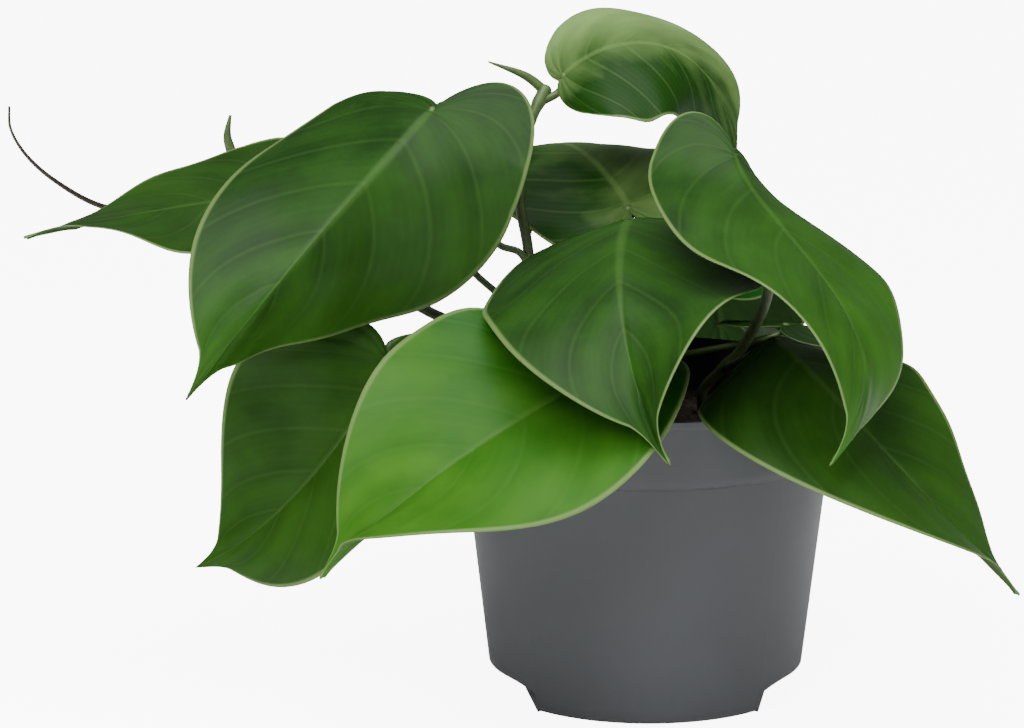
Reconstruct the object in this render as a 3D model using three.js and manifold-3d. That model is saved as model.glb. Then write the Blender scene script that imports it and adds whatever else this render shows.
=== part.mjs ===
// Potted heartleaf philodendron: a young trailing aroid in a plain plastic nursery pot.
// Millimetres, +Z up, origin at the middle of the pot's underside, front toward -Y.

import * as THREE from 'three';
import { mergeVertices } from 'three/addons/utils/BufferGeometryUtils.js';
import Module from 'manifold-3d';

const wasm = await Module();
wasm.setup();

// Driving dimensions of the pot
const POT_HEIGHT = 100;
const POT_TOP_RADIUS = 62.5;
const POT_BASE_RADIUS = 49;
const BAND_HEIGHT = 23;
const BAND_STEP = 1.3;
const BAND_CHAMFER = 0.8;
const BEAD_HEIGHT = 3.2;
const BEAD_STEP = 0.5;
const WALL = 1.4;
const FLOOR_THICKNESS = 1.8;
const BASE_CORNER = 2;
const POT_SEGMENTS = 48;

// The arched recesses round the base corner: the heading of each, how far it reaches to either
// side, its height, and how far from the pot's axis its flat back wall stands, with a drain hole
const RECESS_HEADINGS = [82, 180, 278];
const RECESS_HALF_ANGLE = 37;
const RECESS_HEIGHT = 8.5;
const RECESS_BACK = 39;
const DRAIN_RADIUS = 2;
const DRAIN_LENGTH = 12;
const DRAIN_HEIGHT = 5;

// Soil, the holes that the stems stand in, and the gap kept between pieces that touch
const SOIL_LEVEL = 88;
const SOIL_DOME = 3;
const STEM_DEPTH = 26;
const STEM_COLLAR = 6;
const HOLE_SIDES = 12;
const GAP = 0.3;
const STEM_GAP = 0.45;

// Blade: thickness, and how finely it is divided along its outline and across each half
const BLADE = 0.8;
const OUTLINE_STEPS = 16;
const ACROSS_STEPS = 3;

// The outline parameter where the lobe ends at the shoulder and where the drawn-out tip starts
const LOBE_END = 0.3125;
const TIP_START = 0.8125;

// Stems and leaf stalks
const STEM_SIDES = 8;
const STALK_SIDES = 6;
const STALK_RADIUS = 1.15;
const RING_SPACING = 7;

const GREEN = { dark: 0x3a5f2b, mid: 0x47772f, bright: 0x5f9440, pale: 0x7f9f62 };
const STEM_COLOUR = 0x5a6b3a;
const POT_COLOUR = 0x56585f;
const SOIL_COLOUR = 0x2a211b;

/**
 * Every blade hangs on its midrib, a Bezier curve from the stalk to the tip. `half` is half the
 * blade's width and `lobe` how far its left and right lobes reach back past the stalk. `face` is
 * where the upper side looks near the stalk and near the tip, as [azimuth, elevation] in degrees:
 * azimuth 0 is the front, positive to the right. `fold` is how far the left and right halves rise
 * from flat, near the stalk, half way and near the tip, `curl` how much further they turn by the
 * margin, `wave` the ripple of the margin as [height, ripples along the blade, phase in degrees].
 */
const LEAVES = [
  {
    name: 'leaf_top', colour: GREEN.pale,
    rib: [[-28, 17, 192], [-15, 17, 208], [22, 22, 214], [29, 28, 166]],
    half: 32, lobe: [2, 5], face: [[0, 72], [0, 66]],
    fold: [[-3, -8], [-5, -12], [-12, -10]], curl: [-10, -10], wave: [1.5, 2, 40],
  },
  {
    name: 'leaf_hanging', colour: GREEN.mid,
    rib: [[26, -22, 177], [31, -48, 154], [84, -96, 136], [51, -107, 97]],
    half: 34, lobe: [3, 20], face: [[30, 32], [40, 10]],
    fold: [[-40, -25], [-9, 15], [-45, -10]], curl: [-15, -15], wave: [1.5, 2, 0],
  },
  {
    name: 'leaf_centre', colour: GREEN.mid,
    rib: [[-6, -7, 152], [-12, -52, 157], [-14, -100, 128], [4, -102, 96]],
    half: 45, lobe: [15, 15], face: [[14, 58], [14, 28]],
    fold: [[12, -35], [14, -28], [105, 10]], curl: [0, -5], wave: [1.5, 2, 90],
  },
  {
    name: 'leaf_behind_centre', colour: GREEN.pale,
    rib: [[-5, 12, 151], [-16, 38, 168], [-40, 74, 180], [-36, 114, 124]],
    half: 34, lobe: [16, 16], face: [[0, 70], [170, 30]],
    fold: [[-15, 5], [-15, 5], [-15, 5]], curl: [-20, -10], wave: [1.5, 2, 0],
  },
  {
    name: 'leaf_left_large', colour: GREEN.mid,
    rib: [[-66, 0, 187], [-79, -12, 176], [-121, -36, 131], [-143, -38, 101]],
    half: 45, lobe: [24, 3], face: [[-14, 24], [30, -10]],
    fold: [[10, -25], [-22, -34], [-34, -8]], curl: [-20, -20], wave: [2, 2, 60],
  },
  {
    name: 'leaf_left_back', colour: GREEN.dark,
    rib: [[-115, 22, 156], [-131, 22, 153], [-166, 8, 151], [-196, 0, 145]],
    half: 29, lobe: [20, 20], face: [[0, 70], [0, 84]],
    fold: [[-4, 12], [-3, -8], [40, -25]], curl: [0, 0], wave: [1.5, 2, 120],
  },
  {
    name: 'leaf_left_low', colour: GREEN.dark,
    rib: [[-82, 2, 107], [-86, 0, 91], [-114, -16, 53], [-144, 2, 37]],
    half: 40, lobe: [11, 11], face: [[0, 5], [0, 0]],
    fold: [[55, 8], [60, -12], [-10, -45]], curl: [-10, -10], wave: [1.5, 2, 0],
  },
  {
    name: 'leaf_front_low', colour: GREEN.bright,
    rib: [[-15, -48, 111], [-34, -68, 107], [-68, -86, 91], [-101, -74, 54]],
    half: 49, lobe: [14, 14], face: [[0, 50], [0, 22]],
    fold: [[48, -6], [45, -14], [128, -14]], curl: [-20, 0], wave: [2, 2, 30],
  },
  {
    name: 'leaf_right_low', colour: GREEN.dark,
    rib: [[38, -37, 121], [46, -62, 119], [70, -90, 94], [113, -60, 45]],
    half: 38, lobe: [5, 2], face: [[0, 52], [0, 38]],
    fold: [[-34, -20], [-24, 44], [-30, 80]], curl: [0, -20], wave: [1.5, 2, 0],
  },
  {
    name: 'leaf_back_left', colour: GREEN.mid,
    rib: [[-13, 46, 112], [-19, 72, 110], [-27, 112, 82], [-26, 104, 36]],
    half: 34, lobe: [18, 18], face: [[180, 60], [180, 10]],
    fold: [[-6, -6], [-6, -6], [-6, -6]], curl: [-10, -10], wave: [1.5, 2, 80],
  },
  {
    name: 'leaf_back_middle', colour: GREEN.bright,
    rib: [[15, 40, 126], [19, 75, 138], [31, 118, 104], [30, 113, 50]],
    half: 38, lobe: [18, 18], face: [[175, 60], [175, 10]],
    fold: [[-6, -6], [-6, -6], [-6, -6]], curl: [-10, -10], wave: [1.5, 2, 20],
  },
  {
    name: 'leaf_back_right', colour: GREEN.mid,
    rib: [[44, 22, 112], [58, 46, 110], [73, 80, 90], [69, 84, 54]],
    half: 30, lobe: [14, 14], face: [[140, 60], [140, 20]],
    fold: [[-6, -6], [-6, -6], [-6, -6]], curl: [-10, -10], wave: [1.5, 2, 140],
  },
  {
    name: 'leaf_back_high', colour: GREEN.mid,
    rib: [[2, 26, 141], [4, 62, 143], [6, 108, 124], [6, 116, 80]],
    half: 34, lobe: [18, 18], face: [[180, 70], [180, 20]],
    fold: [[-6, -6], [-6, -6], [-6, -6]], curl: [-10, -10], wave: [1.5, 2, 200],
  },
];

/**
 * Each vine is one grown piece: a stem that stands in the soil, with the stalks that leave it.
 * `stem` runs from the soil's surface to the last node. A stalk leaves the stem at the point
 * `from` and passes `via` on its way to the underside of its leaf. `ends` are what else grows from
 * the nodes, each tapering along its path: the spear of a new leaf, a bud, an aerial root.
 */
const VINES = [
  {
    name: 'vine_left', radius: 1.7,
    stem: [[-20, 2, 88], [-29, 5, 108], [-36, 6, 130], [-38, 6, 143], [-40, 8, 154], [-40, 11, 168],
      [-36, 15, 181], [-32, 19, 189]],
    stalks: [
      { leaf: 'leaf_top', from: [-34, 17, 185], via: [] },
      {
        leaf: 'leaf_left_large', from: [-35, 6, 128],
        via: [[-40, 4, 139], [-47, 4, 142], [-57, 13, 160], [-59, 13, 180]],
      },
      {
        leaf: 'leaf_left_back', from: [-30, 5, 111],
        via: [[-52, 10, 129], [-57, 12, 133], [-86, 20, 146]],
      },
    ],
    ends: [{ path: [[-32, 19, 188], [-38, 18, 193], [-50, 16, 198]], thick: 1.6, thin: 0.5 }],
  },
  {
    name: 'vine_left_back', radius: 1.7,
    stem: [[-14, 18, 88], [-35, 14, 104], [-68, 12, 118], [-77, 14, 123], [-102, 36, 136],
      [-124, 55, 150], [-133, 57, 161]],
    stalks: [
      { leaf: 'leaf_left_low', from: [-46, 13, 109], via: [[-63, 9, 112]] },
    ],
    ends: [
      { path: [[-133, 57, 160], [-135, 57, 167], [-134, 57, 174]], thick: 1.7, thin: 0.7 },
      { path: [[-126, 56, 152], [-150, 54, 145], [-172, 38, 147], [-188, 26, 158], [-197, 20, 168],
        [-201, 16, 177], [-201, 14, 184]], thick: 1.1, thin: 0.5 },
    ],
  },
  {
    name: 'vine_centre', radius: 1.7,
    stem: [[4, 2, 88], [2, 6, 110], [-2, 8, 132]],
    stalks: [
      { leaf: 'leaf_centre', from: [-2, 8, 131], via: [] },
      { leaf: 'leaf_behind_centre', from: [2, 6, 110], via: [[4, 12, 128]] },
    ],
    ends: [],
  },
  {
    name: 'vine_right', radius: 1.7,
    stem: [[18, 6, 88], [30, 5, 108], [38, 2, 127], [36, 4, 144]],
    stalks: [
      { leaf: 'leaf_hanging', from: [37, 3, 140], via: [[31, 6, 158]] },
      { leaf: 'leaf_right_low', from: [26, 5, 102], via: [] },
    ],
    ends: [],
  },
  {
    name: 'vine_front', radius: 1.7,
    stem: [[-4, -14, 88], [-6, -14, 95], [-9, -13, 101]],
    stalks: [
      { leaf: 'leaf_front_low', from: [-6, -14, 95], via: [] },
    ],
    ends: [],
  },
  {
    name: 'vine_back', radius: 1.7,
    stem: [[8, 28, 88], [6, 26, 104], [-2, 20, 126]],
    stalks: [
      { leaf: 'leaf_back_left', from: [7, 27, 98], via: [] },
      { leaf: 'leaf_back_middle', from: [6, 26, 104], via: [] },
      { leaf: 'leaf_back_right', from: [7, 27, 100], via: [] },
      { leaf: 'leaf_back_high', from: [-2, 20, 125], via: [] },
    ],
    ends: [],
  },
];

const point = (p) => new THREE.Vector3(...p);

const radians = THREE.MathUtils.degToRad;

/** The unit vector that looks to an azimuth and elevation in degrees. */
function facing([azimuth, elevation]) {
  const level = Math.cos(radians(elevation));
  return new THREE.Vector3(
    Math.sin(radians(azimuth)) * level,
    -Math.cos(radians(azimuth)) * level,
    Math.sin(radians(elevation)),
  );
}

/** The midrib of a leaf as a curve, its length, and its frame at a distance from the stalk. */
function midribOf(leaf) {
  const curve = new THREE.CubicBezierCurve3(...leaf.rib.map(point));
  const length = curve.getLength();
  const [faceNear, faceFar] = leaf.face.map(facing);
  const frameAt = (distance) => {
    const u = THREE.MathUtils.clamp(distance / length, 0, 1);
    const along = curve.getTangentAt(u);
    const face = faceNear.clone().lerp(faceFar, u);
    const up = face.addScaledVector(along, -face.dot(along)).normalize();
    const right = along.clone().cross(up);
    const origin = curve.getPointAt(u).addScaledVector(along, Math.min(distance, 0));
    return { origin, along, up, right };
  };
  return { length, frameAt };
}

/**
 * Half the outline of a heart-shaped blade laid flat: from the notch back round the lobe to the
 * shoulder, along the side, and along the drawn-out tip. x runs along the midrib, y away from it.
 */
function flatOutline(length, half, lobe) {
  const curve = (...corners) => new THREE.CubicBezierCurve(
    ...corners.map(([x, y]) => new THREE.Vector2(x, y * half)),
  );
  const shoulder = [0.1 * length, 0.92];
  const neck = [0.88 * length, 0.14];
  const lobeCurve = curve([0, 0], [-1.15 * lobe, 0.12], [-1.25 * lobe, 0.62], shoulder);
  const sideCurve = curve(shoulder, [0.4 * length, 1.3], [0.76 * length, 0.62], neck);
  const tipCurve = curve(neck, [0.91 * length, 0.06], [0.95 * length, 0.04], [length, 0]);
  return (a) => {
    if (a < LOBE_END) return lobeCurve.getPoint(a / LOBE_END);
    if (a < TIP_START) return sideCurve.getPoint((a - LOBE_END) / (TIP_START - LOBE_END));
    return tipCurve.getPoint((a - TIP_START) / (1 - TIP_START));
  };
}

/** Where on the midrib the vein starts that runs out to the outline at a. */
function veinStart(a, length) {
  if (a < LOBE_END) return length * (0.012 + (0.018 * a) / LOBE_END);
  return length * (0.03 + 0.955 * ((a - LOBE_END) / (1 - LOBE_END)) ** 1.15);
}

/** The smooth value at a share of the length that runs through three values, half way in between. */
function through([near, middle, far], share) {
  return near * (1 - share) * (1 - 2 * share) + middle * 4 * share * (1 - share)
    + far * share * (2 * share - 1);
}

/** The place on the blade's middle surface of a point laid flat, for one half (side -1 or 1). */
function bladePoint(leaf, midrib, flat, side) {
  const index = side < 0 ? 0 : 1;
  const share = THREE.MathUtils.clamp(flat.x / midrib.length, 0, 1);
  const fold = through(leaf.fold.map((pair) => radians(pair[index])), share);
  const curl = radians(leaf.curl[index]) || 1e-6;
  const { origin, up, right } = midrib.frameAt(flat.x);
  const turn = fold + (curl * flat.y) / leaf.half;
  const across = (leaf.half * (Math.sin(turn) - Math.sin(fold))) / curl;
  const rise = (leaf.half * (Math.cos(fold) - Math.cos(turn))) / curl;
  const [height, ripples, phase] = leaf.wave;
  const ripple = Math.sin((2 * Math.PI * ripples * flat.x) / midrib.length + side * radians(phase));
  const wave = height * ripple * (flat.y / leaf.half) ** 2;
  return origin.addScaledVector(right, side * across).addScaledVector(up, rise + wave);
}

/** A blade as one closed solid: its middle surface moved half the thickness up and down. */
function bladeGeometry(leaf) {
  const midrib = midribOf(leaf);
  const middle = [];
  const columns = {};
  for (const side of [1, -1]) {
    const outline = flatOutline(midrib.length, leaf.half, leaf.lobe[side < 0 ? 0 : 1]);
    columns[side] = [];
    for (let i = 0; i <= OUTLINE_STEPS; i += 1) {
      const a = i / OUTLINE_STEPS;
      const start = new THREE.Vector2(veinStart(a, midrib.length), 0);
      const end = outline(a);
      const onMidrib = i === 0 || i === OUTLINE_STEPS;
      const column = [];
      for (let j = 0; j <= ACROSS_STEPS; j += 1) {
        if (side < 0 && (onMidrib || j === 0)) {
          column.push(columns[1][i][j]);
        } else {
          column.push(middle.length);
          middle.push(bladePoint(leaf, midrib, start.clone().lerp(end, j / ACROSS_STEPS), side));
        }
      }
      columns[side].push(column);
    }
  }
  const faces = [];
  for (const side of [1, -1]) {
    for (let i = 0; i < OUTLINE_STEPS; i += 1) {
      for (let j = 0; j < ACROSS_STEPS; j += 1) {
        const near = columns[side][i];
        const far = columns[side][i + 1];
        const corners = [near[j], near[j + 1], far[j + 1], far[j]];
        if (side < 0) corners.reverse();
        faces.push([corners[0], corners[1], corners[2]], [corners[0], corners[2], corners[3]]);
      }
    }
  }
  const margin = columns[1].map((column) => column[ACROSS_STEPS]);
  margin.push(...columns[-1].map((column) => column[ACROSS_STEPS]).slice(1, -1).reverse());
  return thickened(middle, faces, margin);
}

/** Both faces of a thin sheet, triangle for triangle alike, with a rim round the margin. */
function thickened(middle, faces, margin) {
  const sheet = new THREE.BufferGeometry().setFromPoints(middle);
  sheet.setIndex(faces.flat());
  sheet.computeVertexNormals();
  const normals = sheet.getAttribute('normal');
  const count = middle.length;
  const normalAt = (i) => new THREE.Vector3().fromBufferAttribute(normals, i);
  const shifted = (distance) => middle.map((p, i) => p.clone().addScaledVector(normalAt(i), distance));
  const points = [...shifted(BLADE / 2), ...shifted(-BLADE / 2)];
  const triangles = faces.flatMap(([a, b, c]) => [a, b, c, a + count, c + count, b + count]);
  margin.forEach((start, i) => {
    const end = margin[(i + 1) % margin.length];
    triangles.push(start, start + count, end + count, start, end + count, end);
  });
  const solid = new THREE.BufferGeometry().setFromPoints(points);
  solid.setIndex(triangles);
  return solid;
}

/** A closed three.js geometry as a manifold solid. */
function toSolid(geometry) {
  const bare = geometry.clone();
  bare.deleteAttribute('normal');
  bare.deleteAttribute('uv');
  const merged = mergeVertices(bare, 1e-4);
  return new wasm.Manifold(new wasm.Mesh({
    numProp: 3,
    vertProperties: new Float32Array(merged.getAttribute('position').array),
    triVerts: new Uint32Array(merged.getIndex().array),
  }));
}

/** A manifold solid as a three.js geometry. */
function toGeometry(solid) {
  const mesh = solid.getMesh();
  const geometry = new THREE.BufferGeometry();
  geometry.setAttribute('position', new THREE.BufferAttribute(mesh.vertProperties, 3));
  geometry.setIndex(new THREE.BufferAttribute(mesh.triVerts, 1));
  return geometry;
}

/** A lathe about +Z from [radius, height] pairs. */
function turned(profile, segments) {
  const geometry = new THREE.LatheGeometry(profile.map(([r, z]) => new THREE.Vector2(r, z)), segments);
  return geometry.rotateX(Math.PI / 2);
}

/** A round rod of changing radius along a curve: turned straight, then bent along the curve. */
function rod(curve, radiusAt, sides) {
  const steps = Math.max(4, Math.round(curve.getLength() / RING_SPACING));
  const profile = [[0, 0]];
  for (let i = 0; i <= steps; i += 1) profile.push([radiusAt(i / steps), i / steps]);
  profile.push([0, 1]);
  const geometry = turned(profile, sides);
  const frames = curve.computeFrenetFrames(steps, false);
  const positions = geometry.getAttribute('position');
  for (let i = 0; i < positions.count; i += 1) {
    const [x, y, z] = [positions.getX(i), positions.getY(i), positions.getZ(i)];
    const ring = Math.round(z * steps);
    const p = curve.getPointAt(ring / steps)
      .addScaledVector(frames.normals[ring], x)
      .addScaledVector(frames.binormals[ring], y);
    positions.setXYZ(i, p.x, p.y, p.z);
  }
  return geometry;
}

const smoothPath = (points) => new THREE.CatmullRomCurve3(points, false, 'centripetal');

/** Where a stalk meets its blade: just under the blade, looking up along its face. */
function seatOf(leaf) {
  const { origin, along, up } = midribOf(leaf).frameAt(2);
  const steepest = radians(Math.max(0, -Math.min(...leaf.fold[0])));
  const drop = STALK_RADIUS * Math.tan(steepest) + BLADE / 2 / Math.cos(steepest) + STEM_GAP;
  const end = origin.clone().addScaledVector(up, -drop);
  const before = end.clone().addScaledVector(up, -1.5);
  const under = end.clone().addScaledVector(up, -3).addScaledVector(along, -5);
  return [under, before, end];
}

const leafNamed = (name) => LEAVES.find((leaf) => leaf.name === name);

/** A stem with its stalks fused on, reaching down into its hole in the soil. */
function vineGeometry(vine) {
  const path = vine.stem.map(point);
  const foot = path[0].clone().add(new THREE.Vector3(0, 0, -STEM_DEPTH));
  const collar = path[0].clone().add(new THREE.Vector3(0, 0, STEM_COLLAR));
  const route = [foot, path[0], collar, ...path.slice(1)];
  let solid = toSolid(rod(smoothPath(route), () => vine.radius, STEM_SIDES));
  for (const stalk of vine.stalks) {
    const way = [point(stalk.from), ...stalk.via.map(point), ...seatOf(leafNamed(stalk.leaf))];
    const swelling = (u) => STALK_RADIUS * (1 + 0.35 * Math.exp(-u * 12));
    solid = solid.add(toSolid(rod(smoothPath(way), swelling, STALK_SIDES)));
  }
  for (const end of vine.ends) {
    const taper = (u) => THREE.MathUtils.lerp(end.thick, end.thin, u);
    solid = solid.add(toSolid(rod(smoothPath(end.path.map(point)), taper, STALK_SIDES)));
  }
  return toGeometry(solid);
}

/** The outer radius of the pot's wall at a height, with what stands proud of it there. */
function wallRadius(height, proud) {
  const slope = (POT_TOP_RADIUS - BAND_STEP - BEAD_STEP - POT_BASE_RADIUS) / POT_HEIGHT;
  return POT_BASE_RADIUS + slope * height + proud;
}

/** The pot's wall and band up to `top`, `inset` inside the outer surface, as [radius, height]. */
function wallProfile(inset, bottom, top) {
  const corner = bottom + BASE_CORNER;
  const step = POT_HEIGHT - BAND_HEIGHT + inset;
  const lip = step + BAND_CHAMFER;
  return [
    [0, bottom],
    [wallRadius(bottom, 0) - inset - BASE_CORNER, bottom],
    [wallRadius(corner, 0) - inset, corner],
    [wallRadius(step, 0) - inset, step],
    [wallRadius(lip, BAND_STEP) - inset, lip],
    [wallRadius(top, BAND_STEP) - inset, top],
  ];
}

/** The outer body of the pot, filled, with the bead round its rim. */
function potBody() {
  const bead = POT_HEIGHT - BEAD_HEIGHT;
  const proud = BAND_STEP + BEAD_STEP;
  return toSolid(turned([
    ...wallProfile(0, 0, bead),
    [wallRadius(bead + BEAD_STEP, proud), bead + BEAD_STEP],
    [wallRadius(POT_HEIGHT, proud), POT_HEIGHT],
    [0, POT_HEIGHT],
  ], POT_SEGMENTS));
}

/** A filled body inside the pot, with a low dome on top. */
function fill(inset, bottom, top, dome) {
  const edge = wallRadius(top, BAND_STEP) - inset;
  return toSolid(turned([
    ...wallProfile(inset, bottom, top),
    [edge * 0.6, top + dome * 0.7],
    [0, top + dome],
  ], POT_SEGMENTS));
}

/** The arched recesses of the base, grown by `wall` on every side, cut from outside the pot. */
function recesses(wall) {
  const halfWidth = POT_BASE_RADIUS * Math.sin(radians(RECESS_HALF_ANGLE)) + wall;
  const crown = RECESS_HEIGHT + wall;
  const spring = RECESS_HEIGHT * 0.7 + wall * 0.8;
  const inner = RECESS_BACK - wall;
  const below = -RECESS_HEIGHT;
  const depth = POT_BASE_RADIUS / 2;
  const shapes = RECESS_HEADINGS.map((heading) => {
    const arch = new THREE.Shape();
    arch.moveTo(-halfWidth, below);
    arch.lineTo(halfWidth, below);
    arch.lineTo(halfWidth, spring);
    arch.quadraticCurveTo(halfWidth * 0.85, crown, halfWidth * 0.5, crown);
    arch.lineTo(-halfWidth * 0.5, crown);
    arch.quadraticCurveTo(-halfWidth * 0.85, crown, -halfWidth, spring);
    const block = new THREE.ExtrudeGeometry(arch, { depth, bevelEnabled: false, curveSegments: 4 });
    block.rotateX(Math.PI / 2);
    block.translate(0, -inner, 0);
    block.rotateZ(radians(heading));
    return toSolid(block);
  });
  return shapes.reduce((all, shape) => all.add(shape));
}

/** A round drain hole through the back wall of each recess. */
function drainHoles() {
  const holes = RECESS_HEADINGS.map((heading) => {
    const hole = new THREE.CylinderGeometry(DRAIN_RADIUS, DRAIN_RADIUS, DRAIN_LENGTH, HOLE_SIDES);
    hole.translate(0, -RECESS_BACK, DRAIN_HEIGHT);
    hole.rotateZ(radians(heading));
    return toSolid(hole);
  });
  return holes.reduce((all, hole) => all.add(hole));
}

function potGeometry() {
  const shell = potBody().subtract(recesses(0));
  const hollow = fill(WALL, FLOOR_THICKNESS, POT_HEIGHT + 1, 0).subtract(recesses(WALL));
  return toGeometry(shell.subtract(hollow).subtract(drainHoles()));
}

function soilGeometry() {
  const inset = WALL + GAP;
  let soil = fill(inset, FLOOR_THICKNESS + GAP, SOIL_LEVEL - SOIL_DOME, SOIL_DOME);
  soil = soil.subtract(recesses(inset));
  for (const vine of VINES) {
    const [x, y, z] = vine.stem[0];
    const radius = (vine.radius + STEM_GAP) / Math.cos(Math.PI / HOLE_SIDES);
    const hole = new THREE.CylinderGeometry(radius, radius, 2 * STEM_DEPTH, HOLE_SIDES);
    hole.rotateX(Math.PI / 2);
    hole.translate(x, y, z - GAP);
    soil = soil.subtract(toSolid(hole));
  }
  return toGeometry(soil);
}

const group = new THREE.Group();

function addPiece(name, geometry, colour, roughness) {
  const material = new THREE.MeshStandardMaterial({ color: colour, roughness, metalness: 0 });
  const mesh = new THREE.Mesh(geometry, material);
  mesh.name = name;
  group.add(mesh);
}

addPiece('pot', potGeometry(), POT_COLOUR, 0.65);
addPiece('soil', soilGeometry(), SOIL_COLOUR, 0.95);
for (const vine of VINES) addPiece(vine.name, vineGeometry(vine), STEM_COLOUR, 0.6);
for (const leaf of LEAVES) addPiece(leaf.name, bladeGeometry(leaf), leaf.colour, 0.45);

export default group;
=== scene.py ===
import math

import bpy
import numpy as np
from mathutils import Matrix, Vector


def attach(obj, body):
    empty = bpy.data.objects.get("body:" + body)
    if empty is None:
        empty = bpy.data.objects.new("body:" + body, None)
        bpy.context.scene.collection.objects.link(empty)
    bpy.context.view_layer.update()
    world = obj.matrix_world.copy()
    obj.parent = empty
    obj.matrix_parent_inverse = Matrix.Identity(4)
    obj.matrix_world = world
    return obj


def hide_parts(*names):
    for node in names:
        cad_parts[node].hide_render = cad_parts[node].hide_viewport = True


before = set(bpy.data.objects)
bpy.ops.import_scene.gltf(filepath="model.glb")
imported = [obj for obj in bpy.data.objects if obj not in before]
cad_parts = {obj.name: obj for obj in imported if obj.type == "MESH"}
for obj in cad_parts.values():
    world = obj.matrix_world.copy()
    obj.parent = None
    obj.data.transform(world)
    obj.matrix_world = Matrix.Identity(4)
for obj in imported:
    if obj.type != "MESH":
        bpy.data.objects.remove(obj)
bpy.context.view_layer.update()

# The studio
# A plain pale floor, a white surround and four large soft lamps, seen by a long lens from a
# little above. Floor and surround are bright to the camera only. None of it is part of the plant.

MM = 0.001
PICTURE_WIDTH = 1024
FOCAL_PIXELS = 4750
SENSOR_WIDTH = 36
CAMERA_DISTANCE = 1.5
CAMERA_ELEVATION = math.radians(12.5)
CAMERA_TARGET = Vector((-0.0426, 0, 0.1041))
FLOOR_SIZE = 12
FLOOR_COLOUR = (0.97, 0.97, 0.97, 1)
WHITE = (1, 1, 1, 1)
SKY_LIGHT = 0.2
SKY_SHOWN = 9.5
FLOOR_GLOW = 8.0

# Each lamp's place, the side of its square and its power. The back lamp lights through the blades
# from behind and is kept out of their gloss.
LAMPS = {
    "lamp_front": ((-0.6, -1.4, 1.3), 1.0, 36),
    "lamp_top": ((-0.1, -0.3, 1.7), 1.4, 40),
    "lamp_right": ((1.4, -0.8, 0.8), 1.0, 9),
    "lamp_back": ((0.3, 1.6, 0.8), 1.2, 9),
}
LAMP_AIM = Vector((0, 0, 0.1))
LAMP_WITHOUT_GLOSS = "lamp_back"


def node(tree, kind, sockets=None, out=0, **settings):
    """A shader node with its settings, its sockets filled by values or links, and one output."""
    made = tree.nodes.new(kind)
    for key, value in settings.items():
        setattr(made, key, value)
    for key, value in (sockets or {}).items():
        if isinstance(value, bpy.types.NodeSocket):
            tree.links.new(value, made.inputs[key])
        else:
            made.inputs[key].default_value = value
    return made.outputs[out]


def new_material(name):
    """An empty node material with its principled shader and its tree."""
    material = bpy.data.materials.new(name)
    material.use_nodes = True
    tree = material.node_tree
    return material, tree, tree.nodes["Principled BSDF"]


def aim(thing, target):
    """Turns a lamp's -Z axis toward a point."""
    thing.rotation_euler = (target - thing.location).to_track_quat("-Z", "Y").to_euler()


lens = bpy.data.cameras.new("camera")
lens.sensor_fit = "HORIZONTAL"
lens.sensor_width = SENSOR_WIDTH
lens.lens = FOCAL_PIXELS * SENSOR_WIDTH / PICTURE_WIDTH
camera = bpy.data.objects.new("camera", lens)
bpy.context.scene.collection.objects.link(camera)
away = Vector((0, -math.cos(CAMERA_ELEVATION), math.sin(CAMERA_ELEVATION)))
camera.location = CAMERA_TARGET + CAMERA_DISTANCE * away
camera.rotation_euler = (math.pi / 2 - CAMERA_ELEVATION, 0, 0)
bpy.context.scene.camera = camera

floor_mesh = bpy.data.meshes.new("floor")
half_floor = FLOOR_SIZE / 2
floor_mesh.from_pydata(
    [(-half_floor, -half_floor, 0), (half_floor, -half_floor, 0),
     (half_floor, half_floor, 0), (-half_floor, half_floor, 0)],
    [], [(0, 1, 2, 3)],
)
floor = bpy.data.objects.new("floor", floor_mesh)
bpy.context.scene.collection.objects.link(floor)
floor_material, floor_tree, floor_shader = new_material("floor")
floor_shader.inputs["Base Color"].default_value = FLOOR_COLOUR
floor_shader.inputs["Roughness"].default_value = 0.9
to_camera = node(floor_tree, "ShaderNodeLightPath")
glow = node(floor_tree, "ShaderNodeMath", {0: to_camera, 1: FLOOR_GLOW}, operation="MULTIPLY")
floor_tree.links.new(glow, floor_shader.inputs["Emission Strength"])
floor_shader.inputs["Emission Color"].default_value = WHITE
floor_mesh.materials.append(floor_material)

surround = bpy.data.worlds.new("surround")
bpy.context.scene.world = surround
surround.use_nodes = True
sky = surround.node_tree.nodes["Background"]
sky.inputs["Color"].default_value = WHITE
to_camera = node(surround.node_tree, "ShaderNodeLightPath")
strength = node(surround.node_tree, "ShaderNodeMapRange", {0: to_camera, 3: SKY_LIGHT, 4: SKY_SHOWN})
surround.node_tree.links.new(strength, sky.inputs["Strength"])

for name, (place, size, power) in LAMPS.items():
    light = bpy.data.lights.new(name, "AREA")
    light.shape = "SQUARE"
    light.size = size
    light.energy = power
    lamp = bpy.data.objects.new(name, light)
    lamp.location = place
    lamp.visible_glossy = name != LAMP_WITHOUT_GLOSS
    aim(lamp, LAMP_AIM)
    bpy.context.scene.collection.objects.link(lamp)


# The pot
# A thin nursery pot, one piece moulded in dark grey recycled plastic: a tapered wall under a
# stepped band, with arched recesses round the base corner so that the drain holes stay open.

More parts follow.
